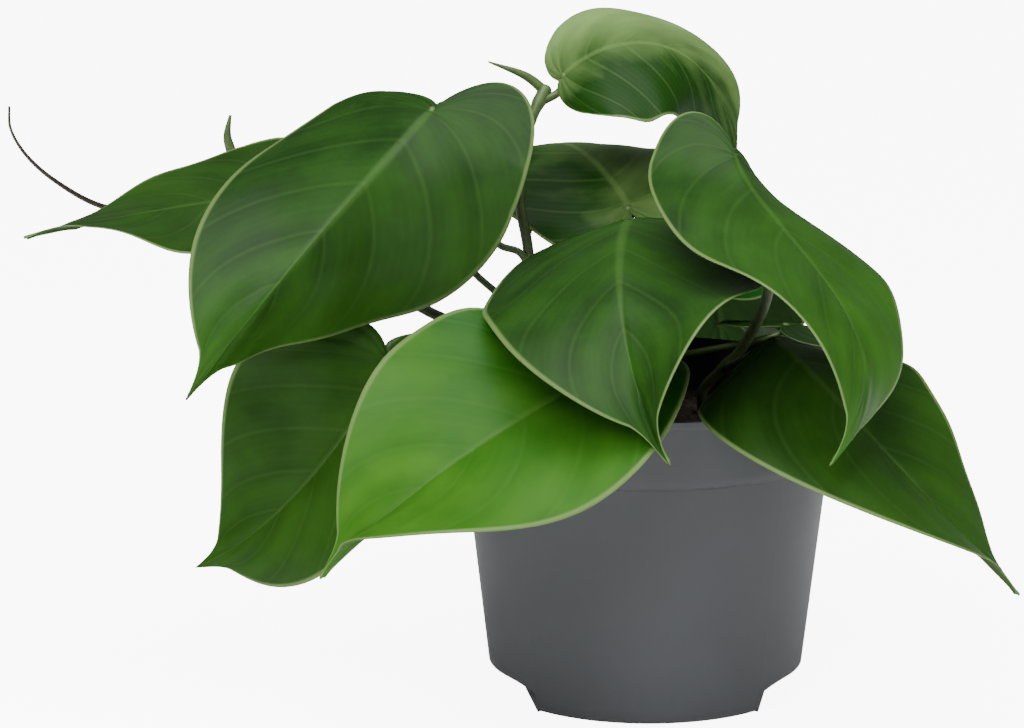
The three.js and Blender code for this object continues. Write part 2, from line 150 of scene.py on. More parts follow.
POT_HEIGHT = 100
POT_TOP_RADIUS = 62.5
POT_BASE_RADIUS = 49
BAND_HEIGHT = 23
BAND_STEP = 1.3
BAND_CHAMFER = 0.8
BEAD_HEIGHT = 3.2
BEAD_STEP = 0.5
WALL = 1.4
FLOOR_THICKNESS = 1.8
BASE_CORNER = 2
RECESS_HEADINGS = (82, 180, 278)
RECESS_HALF_ANGLE = 37
RECESS_HEIGHT = 8.5
RECESS_BACK = 39
RECESS_COLUMNS = 40
BETWEEN_COLUMNS = 46
POT_SHARP = math.radians(35)
POT_DARK = (0.038, 0.04, 0.045, 1)
POT_LIGHT = (0.052, 0.055, 0.062, 1)


def wall_radius(height, proud):
    """The wall's outer radius grows in a straight line with height; what stands proud adds to it."""
    slope = (POT_TOP_RADIUS - BAND_STEP - BEAD_STEP - POT_BASE_RADIUS) / POT_HEIGHT
    return POT_BASE_RADIUS + slope * height + proud


def add_piece(name, points, faces, material, replaced, attributes=None, uv=None, sharp=None):
    """A mesh from millimetre points, put in the frame in place of its solid."""
    mesh = bpy.data.meshes.new(name)
    points = np.asarray(points, float) * MM
    faces = np.asarray(faces)
    mesh.vertices.add(len(points))
    mesh.vertices.foreach_set("co", points.ravel())
    mesh.loops.add(faces.size)
    mesh.loops.foreach_set("vertex_index", faces.ravel())
    mesh.polygons.add(len(faces))
    mesh.polygons.foreach_set("loop_start", np.arange(len(faces)) * faces.shape[1])
    mesh.update(calc_edges=True)
    if uv is not None:
        layer = mesh.uv_layers.new(name="blade")
        layer.data.foreach_set("uv", uv[faces.ravel()].astype(np.float32).ravel())
    for key, values in (attributes or {}).items():
        attribute = mesh.attributes.new(key, "FLOAT", "POINT")
        attribute.data.foreach_set("value", np.asarray(values, np.float32))
    mesh.validate()
    mesh.polygons.foreach_set("use_smooth", np.ones(len(mesh.polygons), bool))
    if sharp is not None:
        mesh.set_sharp_from_angle(angle=sharp)
    mesh.materials.append(material)
    piece = bpy.data.objects.new(name, mesh)
    bpy.context.scene.collection.objects.link(piece)
    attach(piece, "root")
    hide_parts(replaced)
    return piece


def grid_faces(rows, columns, wrap=False):
    """Quads between neighbouring rows and columns of a grid, the last column joined to the first."""
    index = np.arange(rows * columns).reshape(rows, columns)
    if wrap:
        index = np.column_stack([index, index[:, 0]])
    return np.stack([index[:-1, :-1], index[:-1, 1:], index[1:, 1:], index[1:, :-1]], -1).reshape(-1, 4)


def object_place(tree):
    """The point being shaded, in the object's own metres."""
    return node(tree, "ShaderNodeTexCoord", out=3)


def noise(tree, place, scale, detail):
    """A fractal noise between 0 and 1, of so many cycles to a unit of place and so many octaves."""
    return node(tree, "ShaderNodeTexNoise", {"Vector": place, "Scale": scale, "Detail": detail})


def mixed(tree, share, first, second):
    """The first colour where the share is 0, going over to the second where it is 1."""
    return node(tree, "ShaderNodeMix", {0: share, 6: first, 7: second}, out=2, data_type="RGBA")


def bumped(tree, shader, height, strength, distance):
    """Tilts the shading by the slope of a height value, at a strength and over a distance."""
    sockets = {"Height": height, "Strength": strength, "Distance": distance}
    tree.links.new(node(tree, "ShaderNodeBump", sockets), shader.inputs["Normal"])


def pot_columns(grown):
    """Headings round the pot from one recess to the next, how far each lies from the middle of
    its own recess, and whether it crosses that recess, grown by so many degrees on both sides."""
    headings, offsets = [], []
    edge = RECESS_HALF_ANGLE + grown
    for start, end in zip(RECESS_HEADINGS, RECESS_HEADINGS[1:] + (RECESS_HEADINGS[0] + 360,)):
        across = np.linspace(-edge, edge, RECESS_COLUMNS)
        between = np.linspace(edge, end - start - edge, BETWEEN_COLUMNS)
        headings += [start + across, start + between]
        offsets += [across, np.full(BETWEEN_COLUMNS, edge)]
    crosses = np.arange(RECESS_COLUMNS + BETWEEN_COLUMNS) < RECESS_COLUMNS
    inside = np.tile(crosses, len(RECESS_HEADINGS))
    return np.radians(np.concatenate(headings)), np.radians(np.concatenate(offsets)), inside


def foot_rows(offsets, inside, inset, bottom):
    """Rows from the edge of the underside up to the wall above the recesses. Between recesses
    they follow the rounded corner; across one they go up its flat back wall, whose radius grows
    with one over the cosine of the offset, and out along its arched ceiling."""
    part = np.abs(offsets) / np.abs(offsets).max()
    ceiling = (RECESS_HEIGHT + inset) * (1 - 0.3 * np.clip((part - 0.5) / 0.5, 0, 1) ** 2.5)
    outer = wall_radius(ceiling, 0) - inset
    back = np.minimum((RECESS_BACK - inset) / np.cos(offsets), outer - 0.05)
    edge = wall_radius(0, 0) - inset - BASE_CORNER
    top = RECESS_HEIGHT + inset
    rows = []
    for q in np.linspace(0, 1, 6):
        turn = q * math.pi / 2
        rows.append((np.where(inside, back, edge + BASE_CORNER * math.sin(turn)),
                     np.where(inside, bottom + (ceiling - bottom) * q,
                              bottom + BASE_CORNER * (1 - math.cos(turn)))))
    for q in np.linspace(0, 1, 6)[1:]:
        wall_z = bottom + BASE_CORNER + (top - bottom - BASE_CORNER) * q
        rows.append((np.where(inside, back + (outer - back) * q, wall_radius(wall_z, 0) - inset),
                     np.where(inside, ceiling, wall_z)))
    return rows


def pot_surface():
    """The profile goes from the middle of the underside out, up the wall, over the rim and down
    the inside to the middle of the floor, turned about the pot's axis."""
    headings, offsets, inside = pot_columns(0)
    inner_headings, inner_offsets, inner_inside = pot_columns(math.degrees(WALL / POT_BASE_RADIUS))
    level = np.ones(len(headings))
    step = POT_HEIGHT - BAND_HEIGHT
    lip = step + BAND_CHAMFER
    bead = POT_HEIGHT - BEAD_HEIGHT
    proud = BAND_STEP + BEAD_STEP
    outer = [(level * r, level * 0) for r in (0.01, 15, 30, 36)]
    outer += foot_rows(offsets, inside, 0, 0)
    for z in np.linspace(RECESS_HEIGHT + 2, step - 0.3, 22):
        outer.append((level * wall_radius(z, 0), level * z))
    outer.append((level * wall_radius(step, 0), level * step))
    outer.append((level * (wall_radius(lip, BAND_STEP) - 0.25), level * (lip - 0.1)))
    for z in np.linspace(lip + 0.25, bead, 8):
        outer.append((level * wall_radius(z, BAND_STEP), level * z))
    outer.append((level * wall_radius(bead, proud - 0.1), level * (bead + 0.4)))
    rim = (WALL + BEAD_STEP) / 2
    for z in (bead + 0.6, bead + 1.4, POT_HEIGHT - rim):
        outer.append((level * wall_radius(z, proud), level * z))
    rim_centre = wall_radius(POT_HEIGHT, proud) - rim
    for turn in np.linspace(0, math.pi, 9)[1:-1]:
        outer.append((level * (rim_centre + rim * math.cos(turn)),
                      level * (POT_HEIGHT - rim + rim * math.sin(turn))))
    inner = []
    for z in np.linspace(POT_HEIGHT - rim, step + WALL + BAND_CHAMFER, 6):
        inner.append((level * (wall_radius(z, BAND_STEP) - WALL), level * z))
    for z in np.linspace(step + WALL, RECESS_HEIGHT + WALL + 2, 12):
        inner.append((level * (wall_radius(z, 0) - WALL), level * z))
    inner += foot_rows(inner_offsets, inner_inside, WALL, FLOOR_THICKNESS)[::-1]
    inner += [(level * r, level * FLOOR_THICKNESS) for r in (34, 20, 0.01)]
    radius = np.array([r for r, z in outer + inner])
    height = np.array([z for r, z in outer + inner])
    turned = np.array([headings] * len(outer) + [inner_headings] * len(inner))
    points = np.stack([radius * np.sin(turned), -radius * np.cos(turned), height], -1)
    return points.reshape(-1, 3), grid_faces(len(radius), len(headings), wrap=True)


def pot_plastic():
    """Dark grey plastic: a faint mottle in colour and gloss, and a fine moulded grain."""
    material, tree, shader = new_material("pot_plastic")
    place = object_place(tree)
    mottle = noise(tree, place, 45.0, 6.0)
    tree.links.new(mixed(tree, mottle, POT_DARK, POT_LIGHT), shader.inputs["Base Color"])
    bumped(tree, shader, noise(tree, place, 1400.0, 3.0), 0.12, 0.0003)
    rough = node(tree, "ShaderNodeMapRange", {0: mottle, 3: 0.48, 4: 0.62})
    tree.links.new(rough, shader.inputs["Roughness"])
    return material


pot_points, pot_faces = pot_surface()
add_piece("nursery_pot", pot_points, pot_faces, pot_plastic(), "pot", sharp=POT_SHARP)


# The soil
# Peat-based potting mix that fills the pot to a finger's width below the rim, crumbly on top.

SOIL_LEVEL = 88
SOIL_DOME = 3
SOIL_GAP = 0.3
SOIL_RINGS = 70
SOIL_COLUMNS = 180
CRUMBS = 900
CRUMB_SIZE = (1.2, 3.4)
CRUMB_SEED = 7
PEAT_DARK = (0.006, 0.004, 0.003, 1)
PEAT_LIGHT = (0.05, 0.033, 0.022, 1)
GRAIN_COLOUR = (0.2, 0.17, 0.13, 1)


def soil_surface():
    """A disc raised by a low dome and by round crumbs: at each point the highest of the
    half-balls that cover it. Its side follows the pot's wall down to a flat bottom."""
    draw = np.random.default_rng(CRUMB_SEED)
    rim = wall_radius(SOIL_LEVEL, BAND_STEP) - WALL - SOIL_GAP
    radius = rim * np.linspace(0.001, 1, SOIL_RINGS)[:, None] * np.ones(SOIL_COLUMNS)
    angle = np.linspace(0, 2 * math.pi, SOIL_COLUMNS, endpoint=False) * np.ones((SOIL_RINGS, 1))
    x = (radius * np.cos(angle)).ravel()
    y = (radius * np.sin(angle)).ravel()
    place = rim * np.sqrt(draw.random(CRUMBS))
    heading = draw.random(CRUMBS) * 2 * math.pi
    size = draw.uniform(*CRUMB_SIZE, CRUMBS)
    crumb = np.zeros_like(x)
    for px, py, r in zip(place * np.cos(heading), place * np.sin(heading), size):
        room = r * r - (x - px) ** 2 - (y - py) ** 2
        crumb = np.maximum(crumb, np.sqrt(np.maximum(room, 0)))
    share = radius.ravel() / rim
    fade = np.clip((1 - share) * 12, 0, 1)
    top = SOIL_LEVEL - SOIL_DOME + SOIL_DOME * (1 - share**2) + (0.7 * crumb - 1) * fade - 1
    rings = [np.stack([x, y, top], -1)]
    side = np.linspace(0, 2 * math.pi, SOIL_COLUMNS, endpoint=False)
    low = FLOOR_THICKNESS + SOIL_GAP
    step = POT_HEIGHT - BAND_HEIGHT + WALL
    walls = [(rim - 0.1, step + 2), (wall_radius(step, 0) - WALL - SOIL_GAP, step - 1),
             (wall_radius(RECESS_HEIGHT, 0) - WALL - 2, RECESS_HEIGHT + 6),
             (RECESS_BACK - WALL - 1, RECESS_HEIGHT + 3), (RECESS_BACK - WALL - 1, low), (0.05, low)]
    for r, z in walls:
        rings.append(np.stack([r * np.cos(side), r * np.sin(side), np.full(SOIL_COLUMNS, z)], -1))
    faces = grid_faces(SOIL_RINGS + len(walls), SOIL_COLUMNS, wrap=True)
    return np.concatenate(rings), faces[:, ::-1]


def potting_mix():
    """Dark brown peat with lighter fibres and a few pale grains."""
    material, tree, shader = new_material("potting_mix")
    place = object_place(tree)
    crumbs = noise(tree, place, 300.0, 8.0)
    brown = mixed(tree, crumbs, PEAT_DARK, PEAT_LIGHT)
    cells = node(tree, "ShaderNodeTexVoronoi", {"Vector": place, "Scale": 260.0})
    grain = node(tree, "ShaderNodeMapRange", {0: cells, 1: 0.1, 2: 0.14, 3: 0.5, 4: 0.0})
    tree.links.new(mixed(tree, grain, brown, GRAIN_COLOUR), shader.inputs["Base Color"])
    bumped(tree, shader, crumbs, 0.8, 0.002)
    shader.inputs["Roughness"].default_value = 0.95
    return material


soil_points, soil_faces = soil_surface()
add_piece("potting_soil", soil_points, soil_faces, potting_mix(), "soil")


# The vines
# Each is one grown piece: a stem rooted in the soil, swollen at its nodes, with the leaf stalks
# that leave it and what else its nodes carry: the spear of a new leaf, a bud, an aerial root.

STEM_RADIUS = 1.7
STALK_RADIUS = 1.15
STEM_DEPTH = 26
STEM_COLLAR = 6
NODE_SWELLING = 0.5
NODE_REACH = 2.2
SEAT_GAP = 0.1
TUBE_SIDES = 20
RING_SPACING = 0.8
VINES = {
    "vine_left": dict(
        stem=[(-20, 2, 88), (-29, 5, 108), (-36, 6, 130), (-38, 6, 143), (-40, 8, 154), (-40, 11, 168),
              (-36, 15, 181), (-32, 19, 189)],
        stalks=[
            dict(leaf="leaf_top", route=[(-34, 17, 185)]),
            dict(leaf="leaf_left_large",
                 route=[(-35, 6, 128), (-40, 4, 139), (-47, 4, 142), (-57, 13, 160), (-59, 13, 180)]),
            dict(leaf="leaf_left_back",
                 route=[(-30, 5, 111), (-52, 10, 129), (-57, 12, 133), (-86, 20, 146)]),
        ],
        ends=[
            dict(route=[(-32, 19, 188), (-38, 18, 193), (-50, 16, 198)],
                 thick=1.6, thin=0.3, brown=0.1),
        ],
    ),
    "vine_left_back": dict(
        stem=[(-14, 18, 88), (-35, 14, 104), (-68, 12, 118), (-77, 14, 123), (-102, 36, 136),
              (-124, 55, 150), (-133, 57, 161)],
        stalks=[dict(leaf="leaf_left_low", route=[(-46, 13, 109), (-63, 9, 112)])],
        ends=[
            dict(route=[(-133, 57, 160), (-135, 57, 167), (-134, 57, 174)],
                 thick=1.7, thin=0.5, brown=0.2),
            dict(route=[(-126, 56, 152), (-150, 54, 145), (-172, 38, 147), (-188, 26, 158),
                        (-197, 20, 168), (-201, 16, 177), (-201, 14, 184)],
                 thick=1.1, thin=0.4, brown=1.0),
        ],
    ),
    "vine_centre": dict(
        stem=[(4, 2, 88), (2, 6, 110), (-2, 8, 132)],
        stalks=[
            dict(leaf="leaf_centre", route=[(-2, 8, 131)]),
            dict(leaf="leaf_behind_centre", route=[(2, 6, 110), (4, 12, 128)]),
        ],
        ends=[],
    ),
    "vine_right": dict(
        stem=[(18, 6, 88), (30, 5, 108), (38, 2, 127), (36, 4, 144)],
        stalks=[
            dict(leaf="leaf_hanging", route=[(37, 3, 140), (31, 6, 158)]),
            dict(leaf="leaf_right_low", route=[(26, 5, 102)]),
        ],
        ends=[],
    ),
    "vine_front": dict(
        stem=[(-4, -14, 88), (-6, -14, 95), (-9, -13, 101)],
        stalks=[dict(leaf="leaf_front_low", route=[(-6, -14, 95)])],
        ends=[],
    ),
    "vine_back": dict(
        stem=[(8, 28, 88), (6, 26, 104), (-2, 20, 126)],
        stalks=[
            dict(leaf="leaf_back_left", route=[(7, 27, 98)]),
            dict(leaf="leaf_back_middle", route=[(6, 26, 104)]),
            dict(leaf="leaf_back_right", route=[(7, 27, 100)]),
            dict(leaf="leaf_back_high", route=[(-2, 20, 125)]),
        ],
        ends=[],
    ),
}

# Every blade hangs on its midrib, a Bezier curve from the stalk to the tip. face is where its
# upper side looks near the stalk and near the tip, as azimuth and elevation; fold is how far the
# left and right halves rise near the stalk, half way and near the tip; curl how much further they
# turn by the margin; wave the margin's ripple as height, ripples and phase. lobe is how far the
# left and right lobes reach back. The tone is how bright the blade is near the stalk and near the
# tip, left and right: partly the blade's own colour and partly painted light and shade, dark as
# painted shade on the back leaves in the hollow and on shaded halves, and pale as a painted sheen
# where a blade catches the light.
LEAVES = {
    "leaf_top": dict(
        rib=[(-28, 17, 192), (-15, 17, 208), (22, 22, 214), (29, 28, 166)], half=32, lobe=(2, 5),
        face=[(0, 72), (0, 66)],
        fold=[(-3, -8), (-5, -12), (-12, -10)], curl=(-10, -10), wave=(1.5, 2, 40),
        slot="leaf_pale", tone=[(1.3, -0.6), (0.5, -0.2)],
    ),
    "leaf_hanging": dict(
        rib=[(26, -22, 177), (31, -48, 154), (84, -96, 136), (51, -107, 97)], half=34, lobe=(3, 20),
        face=[(30, 32), (40, 10)],
        fold=[(-40, -25), (-9, 15), (-45, -10)], curl=(-15, -15), wave=(1.5, 2, 0),
        slot="leaf_mid", tone=[(0.35, 0.15), (1.0, 0.6)],
    ),
    "leaf_centre": dict(
        rib=[(-6, -7, 152), (-12, -52, 157), (-14, -100, 128), (4, -102, 96)], half=45, lobe=(15, 15),
        face=[(14, 58), (14, 28)],
        fold=[(12, -35), (14, -28), (105, 10)], curl=(0, -5), wave=(1.5, 2, 90),
        slot="leaf_mid", tone=[(0.45, 0.05), (0.2, 0.25)],
    ),
    "leaf_behind_centre": dict(
        rib=[(-5, 12, 151), (-16, 38, 168), (-40, 74, 180), (-36, 114, 124)], half=34, lobe=(16, 16),
        face=[(0, 70), (170, 30)],
        fold=[(-15, 5), (-15, 5), (-15, 5)], curl=(-20, -10), wave=(1.5, 2, 0),
        slot="leaf_pale", tone=[(-0.2, 0.7), (-0.2, 0.6)],
    ),
    "leaf_left_large": dict(
        rib=[(-66, 0, 187), (-79, -12, 176), (-121, -36, 131), (-143, -38, 101)], half=45, lobe=(24, 3),
        face=[(-14, 24), (30, -10)],
        fold=[(10, -25), (-22, -34), (-34, -8)], curl=(-20, -20), wave=(2, 2, 60),
        slot="leaf_mid", tone=[(0.2, 0.0), (0.95, 0.1)],
    ),
    "leaf_left_back": dict(
        rib=[(-115, 22, 156), (-131, 22, 153), (-166, 8, 151), (-196, 0, 145)], half=29, lobe=(20, 20),
        face=[(0, 70), (0, 84)],
        fold=[(-4, 12), (-3, -8), (40, -25)], curl=(0, 0), wave=(1.5, 2, 120),
        slot="leaf_dark", tone=[(0.3, 0.4), (0.3, 0.5)],
    ),
    "leaf_left_low": dict(
        rib=[(-82, 2, 107), (-86, 0, 91), (-114, -16, 53), (-144, 2, 37)], half=40, lobe=(11, 11),
        face=[(0, 5), (0, 0)],
        fold=[(55, 8), (60, -12), (-10, -45)], curl=(-10, -10), wave=(1.5, 2, 0),
        slot="leaf_dark", tone=[(0.6, 0.5), (0.65, 0.45)],
    ),
    "leaf_front_low": dict(
        rib=[(-15, -48, 111), (-34, -68, 107), (-68, -86, 91), (-101, -74, 54)], half=49, lobe=(14, 14),
        face=[(0, 50), (0, 22)],
        fold=[(48, -6), (45, -14), (128, -14)], curl=(-20, 0), wave=(2, 2, 30),
        slot="leaf_bright", tone=[(0.3, 0.3), (0.75, 0.8)],
    ),
    "leaf_right_low": dict(
        rib=[(38, -37, 121), (46, -62, 119), (70, -90, 94), (113, -60, 45)], half=38, lobe=(5, 2),
        face=[(0, 52), (0, 38)],
        fold=[(-34, -20), (-24, 44), (-30, 80)], curl=(0, -20), wave=(1.5, 2, 0),
        slot="leaf_dark", tone=[(0.15, 0.15), (0.75, 0.75)],
    ),
    "leaf_back_left": dict(
        rib=[(-13, 46, 112), (-19, 72, 110), (-27, 112, 82), (-26, 104, 36)], half=34, lobe=(18, 18),
        face=[(180, 60), (180, 10)],
        fold=[(-6, -6), (-6, -6), (-6, -6)], curl=(-10, -10), wave=(1.5, 2, 80),
        slot="leaf_mid", tone=[(0.0, 0.0), (0.1, 0.1)],
    ),
    "leaf_back_middle": dict(
        rib=[(15, 40, 126), (19, 75, 138), (31, 118, 104), (30, 113, 50)], half=38, lobe=(18, 18),
        face=[(175, 60), (175, 10)],
        fold=[(-6, -6), (-6, -6), (-6, -6)], curl=(-10, -10), wave=(1.5, 2, 20),
        slot="leaf_bright", tone=[(0.0, 0.0), (0.1, 0.1)],
    ),
    "leaf_back_right": dict(
        rib=[(44, 22, 112), (58, 46, 110), (73, 80, 90), (69, 84, 54)], half=30, lobe=(14, 14),
        face=[(140, 60), (140, 20)],
        fold=[(-6, -6), (-6, -6), (-6, -6)], curl=(-10, -10), wave=(1.5, 2, 140),
        slot="leaf_mid", tone=[(0.0, 0.0), (0.1, 0.1)],
    ),
    "leaf_back_high": dict(
        rib=[(2, 26, 141), (4, 62, 143), (6, 108, 124), (6, 116, 80)], half=34, lobe=(18, 18),
        face=[(180, 70), (180, 20)],
        fold=[(-6, -6), (-6, -6), (-6, -6)], curl=(-10, -10), wave=(1.5, 2, 200),
        slot="leaf_mid", tone=[(0.0, 0.0), (0.1, 0.1)],
    ),
}
RIB_SAMPLES = 400
# A stem's brown value at its end, at a stalk's foot and at its own foot. The dark brown low on the stems
# is partly woody age and partly painted shade for the hollow under the leaves.
YOUNG, STALK_FOOT, OLD_AND_SHADED = 0.05, 0.3, 0.9
STEM_GREEN = (0.055, 0.11, 0.02, 1)
STEM_BROWN = (0.02, 0.014, 0.008, 1)


def unit(vectors):
    """Vectors divided by their lengths."""
    return vectors / np.linalg.norm(vectors, axis=-1, keepdims=True)


def bezier(controls, t):
    """The cubic Bezier curve: four control points weighted by the cubic Bernstein terms of t."""
    t = np.asarray(t, float)[..., None]
    a, b, c, d = np.asarray(controls, float)
    return (1 - t) ** 3 * a + 3 * (1 - t) ** 2 * t * b + 3 * (1 - t) * t**2 * c + t**3 * d


def facing(azimuth, elevation):
    """The unit vector that looks to an azimuth, 0 at the front and positive right, and elevation."""
    azimuth, elevation = math.radians(azimuth), math.radians(elevation)
    level = math.cos(elevation)
    return np.array([math.sin(azimuth) * level, -math.cos(azimuth) * level, math.sin(elevation)])


def rib_length(leaf):
    """The midrib's length: the sum of many short chords of its curve."""
    chords = np.diff(bezier(leaf["rib"], np.linspace(0, 1, RIB_SAMPLES)), axis=0)
    return np.linalg.norm(chords, axis=1).sum()


def rib_frame(leaf, distance):
    """The midrib's point at each distance from the stalk, with the directions along it, out of
    the upper face, and to the right. Before the stalk the rib runs on straight."""
    t = np.linspace(0, 1, RIB_SAMPLES)
    line = bezier(leaf["rib"], t)
    reached = np.append(0, np.cumsum(np.linalg.norm(np.diff(line, axis=0), axis=1)))
    share = np.clip(distance / reached[-1], 0, 1)
    at = np.interp(share * reached[-1], reached, t)
    step = 1e-4
    ahead = bezier(leaf["rib"], np.minimum(at + step, 1))
    behind = bezier(leaf["rib"], np.maximum(at - step, 0))
    along = unit(ahead - behind)
    origin = bezier(leaf["rib"], at) + along * np.minimum(distance, 0)[..., None]
    near, far = (facing(*look) for look in leaf["face"])
    look = near + (far - near) * share[..., None]
    up = unit(look - along * (look * along).sum(-1, keepdims=True))
    return origin, along, up, np.cross(along, up)


def seat(leaf):
    """The last points of a stalk, which comes up under its blade along the blade's face. It ends
    below the midrib by its radius times the tangent of the steepest downward fold, and a gap."""
    origin, along, up = (v[0] for v in rib_frame(leaf, np.array([2.0]))[:3])
    steepest = math.radians(max(0, -min(leaf["fold"][0])))
    drop = STALK_RADIUS * math.tan(steepest) + SEAT_GAP
    end = origin - up * drop
    return [end - up * 3 - along * 5, end - up * 1.5, end]


def smooth_path(points, spacing):
    """A centripetal Catmull-Rom curve through the points, sampled about every spacing."""
    p = np.asarray(points, float)
    p = np.vstack([2 * p[0] - p[1], p, 2 * p[-1] - p[-2]])
    line = []
    for a, b, c, d in zip(p, p[1:], p[2:], p[3:]):
        ta, tb, tc = (max(np.linalg.norm(v - u), 1e-6) ** 0.5 for u, v in ((a, b), (b, c), (c, d)))
        leave = ((b - a) / ta - (c - a) / (ta + tb) + (c - b) / tb) * tb
        arrive = ((c - b) / tb - (d - b) / (tb + tc) + (d - c) / tc) * tb
        count = max(2, int(np.linalg.norm(c - b) / spacing))
        t = np.linspace(0, 1, count, endpoint=False)[:, None]
        line.append(b + leave * t + (3 * (c - b) - 2 * leave - arrive) * t**2
                    + (2 * (b - c) + leave + arrive) * t**3)
    return np.vstack(line + [p[-2:-1]])


def tube(path, radius):
    """A round skin along a path: rings of the given radius, square to the path and turned as
    little as can be, with a rounded cap at both ends."""
    along = unit(np.gradient(path, axis=0))
    side = np.cross(along[0], (0.31, 0.87, 0.38))
    sides = []
    for direction in along:
        side = unit(side - direction * (side @ direction))
        sides.append(side)
    sides = np.array(sides)
    other = np.cross(along, sides)
    cap = np.array([0.02, 0.55, 0.88])
    push = np.sqrt(1 - cap**2)
    rows = np.concatenate([np.zeros(3, int), np.arange(len(path)), np.full(3, len(path) - 1)])
    grow = np.concatenate([cap, np.ones(len(path)), cap[::-1]]) * radius[rows]
    shift = np.concatenate([-push, np.zeros(len(path)), push[::-1]]) * radius[rows] * 0.6
    angle = np.linspace(0, 2 * math.pi, TUBE_SIDES, endpoint=False)
    ring = sides[rows][:, None] * np.cos(angle)[:, None] + other[rows][:, None] * np.sin(angle)[:, None]
    points = (path[rows] + along[rows] * shift[:, None])[:, None] + ring * grow[:, None, None]
    return points.reshape(-1, 3), grid_faces(len(rows), TUBE_SIDES, wrap=True)


def travelled(path):
    """How far along the path each of its points lies."""
    return np.append(0, np.cumsum(np.linalg.norm(np.diff(path, axis=0), axis=1)))


def vine_skin(vine):
    """The stem, its stalks and its ends as tubes that are sunk into each other where they join.
    The brown value is how woody each ring is, and low on the stem also painted shade for the dark
    hollow under the leaves: it falls from the old value at a tube's foot to the young one at its end
    with the square of the way along."""
    points, faces, brown = [], [], []

    def add(path, radius, old, young):
        skin, quads = tube(path, radius)
        faces.append(quads + sum(len(p) for p in points))
        points.append(skin)
        aged = old + (young - old) * np.linspace(0, 1, len(skin) // TUBE_SIDES) ** 2
        brown.append(np.repeat(aged, TUBE_SIDES))

    stem = np.array(vine["stem"], float)
    foot = stem[0] - (0, 0, STEM_DEPTH)
    collar = stem[0] + (0, 0, STEM_COLLAR)
    path = smooth_path([foot, stem[0], collar, *stem[1:]], RING_SPACING)
    nodes = [stalk["route"][0] for stalk in vine["stalks"]] + [end["route"][0] for end in vine["ends"]]
    radius = np.full(len(path), STEM_RADIUS)
    for joint in nodes:
        near = np.linalg.norm(path - np.array(joint), axis=1)
        radius += NODE_SWELLING * np.exp(-((near / NODE_REACH) ** 2))
    add(path, radius, OLD_AND_SHADED, YOUNG)
    for stalk in vine["stalks"]:
        path = smooth_path([*stalk["route"], *seat(LEAVES[stalk["leaf"]])], RING_SPACING)
        far = travelled(path)
        radius = STALK_RADIUS * (1 + 0.5 * np.exp(-far / 4) + 0.15 * np.exp(-(far[-1] - far) / 3))
        add(path, radius, STALK_FOOT, YOUNG)
    for end in vine["ends"]:
        path = smooth_path(end["route"], RING_SPACING)
        share = travelled(path) / travelled(path)[-1]
        belly = 1 + 0.25 * np.sin(math.pi * share)
        radius = (end["thick"] + (end["thin"] - end["thick"]) * share) * belly
        add(path, radius, end["brown"], end["brown"])
    return np.vstack(points), np.vstack(faces), np.concatenate(brown)


def stem_skin():
    """Fresh green that goes brown with age, and dark brown low on the stem also as painted shade: the
    brown value, shifted by a fine mottle.
    """
    material, tree, shader = new_material("stem_skin")
    brown = node(tree, "ShaderNodeAttribute", out=2, attribute_name="brown")
    mottle = noise(tree, object_place(tree), 220.0, 5.0)
    shift = node(tree, "ShaderNodeMath", {0: mottle, 1: 0.5}, operation="SUBTRACT")
    age = node(tree, "ShaderNodeMath", {0: shift, 1: brown}, operation="ADD", use_clamp=True)
    tree.links.new(mixed(tree, age, STEM_GREEN, STEM_BROWN), shader.inputs["Base Color"])
    bumped(tree, shader, mottle, 0.25, 0.0005)
    shader.inputs["Roughness"].default_value = 0.5
    return material


stem_material = stem_skin()
for name, vine in VINES.items():
    vine_points, vine_faces, vine_brown = vine_skin(vine)
    add_piece(f"{name}_skin", vine_points, vine_faces, stem_material, name,
              attributes={"brown": vine_brown})


# The leaves
# Heart-shaped blades, thin and satin, grown in one piece with their veins: the midrib and the
# arched side veins are pressed in on the upper face and stand out below, and the blade
# swells a little between them. The margin is a thin pale line and the tip is drawn out.

LOBE_END = 0.35
TIP_START = 0.85
BLADE_ROWS = 150
BLADE_HALF = 34
BLADE_THICKNESS = 0.5
SIDE_VEINS = 9
FINE_VEINS = 54
VEIN_BEND = 0.1
VEIN_WIDTH = 0.09
RIB_WIDTH = 1.1
SWELL = 0.22
VEIN_PRESSED, VEIN_RAISED = 0.1, 0.3
RIB_PRESSED, RIB_RAISED = 0.35, 1.1
UNEVEN_WAVES = 4
UNEVEN_PITCH = (0.05, 0.16)
UNEVEN_HEIGHT = 0.25
UNEVEN_CLEAR = 12


def outline(a, length, half, lobe):
    """Half the blade's outline laid flat, as three Bezier curves end to end: round the lobe to
    the shoulder, along the side, and along the drawn-out tip."""
    shoulder = (0.1 * length, 0.92 * half)
    neck = (0.88 * length, 0.14 * half)
    side_curve = [shoulder, (0.4 * length, 1.3 * half), (0.76 * length, 0.62 * half), neck]
    tip_curve = [neck, (0.91 * length, 0.06 * half), (0.95 * length, 0.04 * half), (length, 0)]
    t = a / LOBE_END
    back = -3 * (1 - t) * t * lobe * (1.15 * (1 - t) + 1.25 * t) + t**3 * shoulder[0]
    wide = 3 * (1 - t) * t * half * (0.12 * (1 - t) + 0.62 * t) + t**3 * shoulder[1]
    on_lobe = np.stack([back, wide], -1)
    on_side = bezier(side_curve, (a - LOBE_END) / (TIP_START - LOBE_END))
    on_tip = bezier(tip_curve, (a - TIP_START) / (1 - TIP_START))
    a = a[..., None]
    return np.where(a < LOBE_END, on_lobe, np.where(a < TIP_START, on_side, on_tip))


